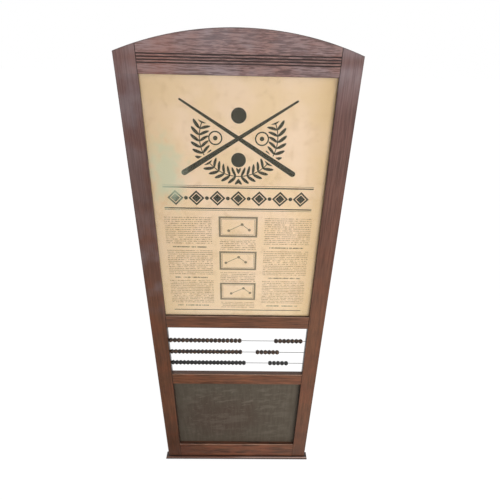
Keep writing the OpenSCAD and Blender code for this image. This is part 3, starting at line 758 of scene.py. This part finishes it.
def printed_sheet(put):
    """Rag paper, uncoated and so without gloss, printed in dark ink and browned behind glass.

    The print is a plain one of crossed cues, lozenges, tables and dashes. A pale greenish patch near the
    left edge is a painted reflection in the glass.
    """
    place = put("TexCoord", out="Object")
    x, z = (put("SeparateXYZ", {0: place}, out=i) for i in (0, 2))
    across = put("Math", {0: x, 1: 1 / MM}, operation="MULTIPLY")
    up = put("Math", {0: z, 1: 1 / MM, 2: -SHEET_MID_Z / MM}, operation="MULTIPLY_ADD")
    wide = put("Math", {0: across}, operation="ABSOLUTE")
    folded = put("CombineXYZ", {0: wide, 1: up})
    mottle = patches(put, place, 22 * MM, detail=5.0)
    pulp = patches(put, place, 1.2 * MM, detail=3.0)

    body, heads = printed_lines(put, across, up)
    columns = block(put, folded, PAGE_MIDDLE, (64.0, PAGE_HALF[1]))
    tables = inked(put, within(put, shot_tables(put, across, up), columns))
    colour = layered(put, old_paper(put, place, across, up, mottle), [
        (all_of(put, body, 0.7), linear("#87603f")),
        (all_of(put, heads, 0.9), linear("#3d3a28")),
        (all_of(put, tables, 0.8), linear("#5a4c34")),
        (title_print(put, folded, up, mottle), linear("#2a2611")),
        # Painted reflection in the glass.
        (painted_glass_reflection(put, across, up, mottle), linear("#c9cfb4")),
    ])
    relief = put("Bump", {"Strength": 0.2, "Distance": 0.1 * MM, "Height": pulp})
    return put("BsdfPrincipled", {"Base Color": colour, "Roughness": 0.85,
                                  "Specular IOR Level": 0.15, "Normal": relief})


def new_piece(name, points, faces, material, crease=30.0):
    """A mesh object of those points and four-sided faces, smooth except at creases (degrees)."""
    mesh = bpy.data.meshes.new(name)
    mesh.from_pydata(points.reshape(-1, 3).tolist(), [], faces.reshape(-1, 4).tolist())
    mesh.validate()
    mesh.shade_smooth()
    mesh.set_sharp_from_angle(angle=math.radians(crease))
    mesh.materials.append(material)
    piece = bpy.data.objects.new(name, mesh)
    bpy.context.scene.collection.objects.link(piece)
    return piece


# The beads' sizes, and how many there are in each row with their spacing
BEAD_LEN, BEAD_R, NECK_R, BORE_R = 13.6 * MM, 8.8 * MM, 5.2 * MM, 1.3 * MM
ROWS = {
    "top_stock_beads": ("top_stock", 18, 14.45 * MM), "top_scored_beads": ("top_scored", 6, 14.65 * MM),
    "top_end_bead": ("top_end", 1, 0.0),
    "middle_stock_beads": ("middle_stock", 19, 13.8 * MM),
    "middle_scored_beads": ("middle_scored", 5, 14.3 * MM), "middle_end_bead": ("middle_end", 1, 0.0),
    "bottom_stock_beads": ("bottom_stock", 20, 13.8 * MM),
    "bottom_scored_beads": ("bottom_scored", 4, 14.9 * MM), "bottom_end_bead": ("bottom_end", 1, 0.0),
}


def bead_outline():
    """Half section of a bead as (place along the wire, radius), once round, bore included.

    Along a flank the share s goes from 0 at the end to 1 at the middle, and the radius is the neck's
    plus s times the rise. The middle is a round band, which stands a rim's height over the flanks.
    """
    half, band_half, rim, lip = BEAD_LEN / 2, 0.4 * MM, 0.25 * MM, 0.15 * MM
    share = np.linspace(0.0, 1.0, 8)
    flank_x = -half + share * (half - band_half)
    flank_r = NECK_R + share * (BEAD_R - rim - NECK_R)
    turn = np.radians(np.linspace(-60.0, 60.0, 5))
    crown_x = band_half * np.sin(turn) * 0.9
    crown_r = BEAD_R - rim + rim * (np.cos(turn) - 0.5) * 2
    lip_x = np.array([-half, -half + lip])
    lip_r = np.array([BORE_R, NECK_R - 0.35 * MM])
    x = np.concatenate([lip_x[:1], lip_x[:1], flank_x, crown_x, -flank_x[::-1], -lip_x[:1], -lip_x[:1]])
    r = np.concatenate([lip_r, flank_r, crown_r, flank_r[::-1], lip_r[::-1]])
    return x, r


def bead_rows():
    """Beads turned about their wire: the half section goes once round in 40 steps for each bead."""
    x, r = bead_outline()
    rings, steps = len(x), 40
    turn = np.arange(steps) * 2 * math.pi / steps
    material = new_material("ebonised_boxwood", ebonised_wood)
    ring, step = np.meshgrid(np.arange(rings), np.arange(steps), indexing="ij")
    next_ring, next_step = (ring + 1) % rings, (step + 1) % steps
    one = np.stack([ring * steps + step, ring * steps + next_step,
                    next_ring * steps + next_step, next_ring * steps + step], -1)
    for node, (body, count, pitch) in ROWS.items():
        low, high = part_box(node)
        first = Vector((low.x + BEAD_LEN / 2, (low.y + high.y) / 2, (low.z + high.z) / 2))
        centre = first.x + pitch * np.arange(count)
        points = np.empty((count, rings, steps, 3))
        points[..., 0] = centre[:, None, None] + x[None, :, None]
        points[..., 1] = first.y + (r[:, None] * np.cos(turn))[None]
        points[..., 2] = first.z + (r[:, None] * np.sin(turn))[None]
        faces = one[None] + (np.arange(count) * rings * steps)[:, None, None, None]
        piece = new_piece("turned_" + node, points, faces, material)
        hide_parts(node)
        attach(piece, body)


def glass_pane():
    """Drawn glass with slightly uneven faces: each face is sunk by 0.03 mm times a sum of sines.

    A closed box is made of a front grid, a back grid and the strips that join their rims.
    """
    low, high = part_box("poster_glass")
    across, up = 64, 96
    u, v = np.meshgrid(np.linspace(0, 1, across), np.linspace(0, 1, up), indexing="ij")
    wave = (2 + np.sin(17 * u + 5 * v) + np.sin(23 * v - 8 * u + 1.3)) / 4
    x, z = low.x + u * (high.x - low.x), low.z + v * (high.z - low.z)
    sunk, off_sheet = 0.03 * MM, 0.1 * MM
    front = np.stack([x, low.y + sunk * wave, z], -1)
    back = np.stack([x, high.y - off_sheet - sunk * wave[::-1], z], -1)
    i, j = np.meshgrid(np.arange(across - 1), np.arange(up - 1), indexing="ij")
    a = i * up + j
    shown = np.stack([a, a + up, a + up + 1, a + 1], -1).reshape(-1, 4)
    count = across * up
    rim = np.concatenate([np.arange(across) * up, (across - 1) * up + np.arange(1, up),
                          np.arange(across - 2, -1, -1) * up + up - 1, np.arange(up - 2, 0, -1)])
    after = np.roll(rim, -1)
    side = np.stack([after, rim, rim + count, after + count], -1)
    faces = np.concatenate([shown, shown[:, ::-1] + count, side])
    piece = new_piece("drawn_glass_pane", np.concatenate([front, back]), faces,
                      new_material("drawn_glass", window_glass))
    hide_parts("poster_glass")
    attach(piece, "frame")


def finish_nodes():
    """Gives each CAD node that stays its material."""
    up_oak = new_material("polished_oak_upright", polished_oak, stretch=UP_GRAIN, figure=0.4, fibre=0.22)
    crest_oak = new_material("polished_oak_crest", polished_oak, stretch=CREST_GRAIN, figure=0.95,
                             fibre=0.7, coarse=0.75)
    along_oak = new_material("polished_oak_rail", polished_oak, stretch=ALONG_GRAIN, figure=1.0,
                             fibre=0.5)
    brown_oak = new_material("polished_oak_poster_rail", polished_oak, stretch=ALONG_GRAIN, figure=0.7,
                             fibre=0.36, redness=0.0)
    bold_oak = new_material("polished_oak_bottom_rail", polished_oak, stretch=ALONG_GRAIN, figure=2.0,
                            fibre=0.7, coarse=1.4, redness=1.4)
    up_pine = new_material("old_pine_upright", old_pine, stretch=UP_GRAIN)
    along_pine = new_material("old_pine_rail", old_pine, stretch=ALONG_GRAIN)
    finishes = {
        up_oak: ("left_stile", "right_stile"),
        crest_oak: ("crest_rail",),
        along_oak: ("slate_rail", "foot_board"),
        brown_oak: ("poster_rail",),
        bold_oak: ("bottom_rail",),
        up_pine: ("poster_backing", "strip_left", "strip_right"),
        along_pine: ("strip_top", "strip_bottom"),
        new_material("printed_rag_paper", printed_sheet): ("poster_sheet",),
        new_material("blackboard_paint", blackboard_paint): ("blackboard",),
        new_material("drawn_steel", drawn_steel): (
            "top_wire", "middle_wire", "bottom_wire", "foot_screws", "strip_pins", "blackboard_screws"),
        new_material("aged_brass", aged_brass): (
            "left_hanging_plate", "right_hanging_plate", "hanging_plate_screws"),
    }
    for material, nodes in finishes.items():
        for node in nodes:
            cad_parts[node].material_slots[0].material = material


def stage_piece(name, half_w, start, end, material):
    """A flat sheet that belongs to the stage, from one edge to another, each given as (y, z)."""
    corners = [(-half_w, *start), (half_w, *start), (half_w, *end), (-half_w, *end)]
    mesh = bpy.data.meshes.new(name)
    mesh.from_pydata(corners, [], [(0, 1, 2, 3)])
    mesh.materials.append(material)
    piece = bpy.data.objects.new(name, mesh)
    bpy.context.scene.collection.objects.link(piece)
    return piece


def seen_ways(put):
    """1 for rays from the camera, off gloss or through glass, which show the background as white."""
    ways = ("Is Camera Ray", "Is Glossy Ray", "Is Transmission Ray")
    return any_of(put, *(put("LightPath", out=way) for way in ways))


def floor_paint(put):
    """White paint, which partly glows where it is seen. The part that is only lit keeps the shadow."""
    glow_share, glow_strength = 0.75, 1.2
    paint = put("BsdfDiffuse", {"Color": (0.9, 0.9, 0.9, 1.0)})
    glow = put("Emission", {"Color": (1.0, 1.0, 1.0, 1.0), "Strength": glow_strength})
    return put("MixShader", {0: all_of(put, seen_ways(put), glow_share), 1: paint, 2: glow})


def set_floor():
    """A white floor, far wider than what is seen of it."""
    reach = 20.0
    stage_piece("floor", reach, (-reach, 0.0), (reach, 0.0), new_material("floor_paint", floor_paint))


def set_world():
    """An even dome of light, which is white where it is seen."""
    light_strength, seen_strength = 0.54, 1.0
    world = bpy.data.worlds.new("studio")
    world.use_nodes = True
    world.node_tree.nodes.clear()
    put = functools.partial(add, world.node_tree)
    strength = put("MapRange", {"Value": seen_ways(put), "To Min": light_strength,
                                "To Max": seen_strength})
    sky = put("Background", {"Color": (1.0, 1.0, 1.0, 1.0), "Strength": strength})
    put("OutputWorld", {"Surface": sky})
    bpy.context.scene.world = world


# The dark cards fade out from the first of these heights to the second
FLAG_FADE, FLAG_TOP = 1.0, 1.4


def dark_tint(put):
    """A dark tint that turns paler from left to right, over a width that grows further off."""
    left, right, near_half_w, widening = "#2e2620", "#b0a49c", 0.3, -0.27
    place = put("TexCoord", out="Object")
    x, y, z = (put("SeparateXYZ", {0: place}, out=i) for i in range(3))
    spread = put("Math", {0: y, 1: widening, 2: near_half_w}, operation="MULTIPLY_ADD")
    share = put("Math", {0: x, 1: spread}, operation="DIVIDE")
    share = put("MapRange", {"Value": share, "From Min": -1.0, "From Max": 1.0})
    dark = put("Emission", {"Color": layered(put, linear(left), [(share, linear(right))])})
    clear = put("BsdfTransparent")
    return put("MixShader", {0: step_up(put, z, FLAG_FADE, FLAG_TOP), 1: dark, 2: clear})


def soft_glow(put, centre, reach, strength, tint):
    """Light that fades from its centre to nothing at the reach."""
    away = away_from(put, put("TexCoord", out="Object"), centre, reach)
    fade = put("MapRange", {"Value": away, "From Min": 1.0, "From Max": 0.0, "To Max": strength},
               interpolation_type="SMOOTHSTEP")
    glow = put("Emission", {"Color": linear(tint), "Strength": fade})
    return put("AddShader", {0: glow, 1: put("BsdfTransparent")})


def set_card(name, half_w, start, end, surface, **look):
    """A card that is hidden from every ray but those off gloss, so that it lights nothing."""
    card = stage_piece(name, half_w, start, end, new_material(name, surface, **look))
    card.visible_camera = False
    card.visible_diffuse = False
    card.visible_transmission = False
    card.visible_shadow = False


def set_lamp(name, place, aim, size, power):
    """A square soft lamp at a place, turned to its aim. It isn't seen, and gloss doesn't mirror it."""
    data = bpy.data.lights.new(name, "AREA")
    data.size, data.energy = size, power
    lamp = bpy.data.objects.new(name, data)
    lamp.location = place
    lamp.rotation_euler = (Vector(aim) - Vector(place)).to_track_quat("-Z", "Y").to_euler()
    lamp.visible_camera = False
    lamp.visible_glossy = False
    lamp.visible_transmission = False
    bpy.context.scene.collection.objects.link(lamp)


def set_lights():
    """Plain soft light, stronger from the right, and the cards that the polish mirrors.

    The floor before the board and the room behind the camera are dark in gloss, so that the lower
    wood keeps its depth. A pale card over them lights the crest.
    """
    set_world()
    set_lamp("key", place=(1.05, -1.2, 0.95), aim=(0.25, 0.0, 0.85), size=0.9, power=15.0)
    half_w, wall_y, floor_z, front = 4.0, -5.0, 0.002, -0.02
    set_card("floor_flag", half_w, (wall_y, floor_z), (front, floor_z), dark_tint)
    set_card("room_flag", half_w, (wall_y, 0.0), (wall_y, FLAG_TOP), dark_tint)
    half_w, card_y, low, top = 3.4, -4.9, 1.2, 4.2
    set_card("crest_card", half_w, (card_y, low), (card_y, top), soft_glow, strength=8.0,
             tint="#f4f0f6", centre=(0.0, card_y, 2.5), reach=(half_w, 1.0, 1.3))


def set_camera():
    """The photograph's camera: its place and turn, fitted to the frame's edges, and a 27 mm lens."""
    pitch, roll, yaw = 0.51447, 0.024014, 0.019926
    place = (17.07 * MM, -1004.55 * MM, 1627.15 * MM)
    ahead = Vector((math.sin(yaw), math.cos(yaw), 0.0))
    right = Vector((math.cos(yaw), -math.sin(yaw), 0.0))
    up = Vector((0.0, 0.0, 1.0))
    forward = ahead * math.cos(pitch) - up * math.sin(pitch)
    top = up * math.cos(pitch) + ahead * math.sin(pitch)
    side = right * math.cos(roll) + top * math.sin(roll)
    top = top * math.cos(roll) - right * math.sin(roll)
    data = bpy.data.cameras.new("camera")
    data.lens, data.sensor_width = 27.0, 36.0
    data.clip_start, data.clip_end = 0.02, 60.0
    camera = bpy.data.objects.new("camera", data)
    turn = Matrix((side, top, -forward)).transposed().to_4x4()
    camera.matrix_world = Matrix.Translation(place) @ turn
    bpy.context.scene.collection.objects.link(camera)
    bpy.context.scene.camera = camera


bpy.context.scene.view_settings.view_transform = "Standard"
set_camera()
finish_nodes()
bead_rows()
glass_pane()
set_floor()
set_lights()
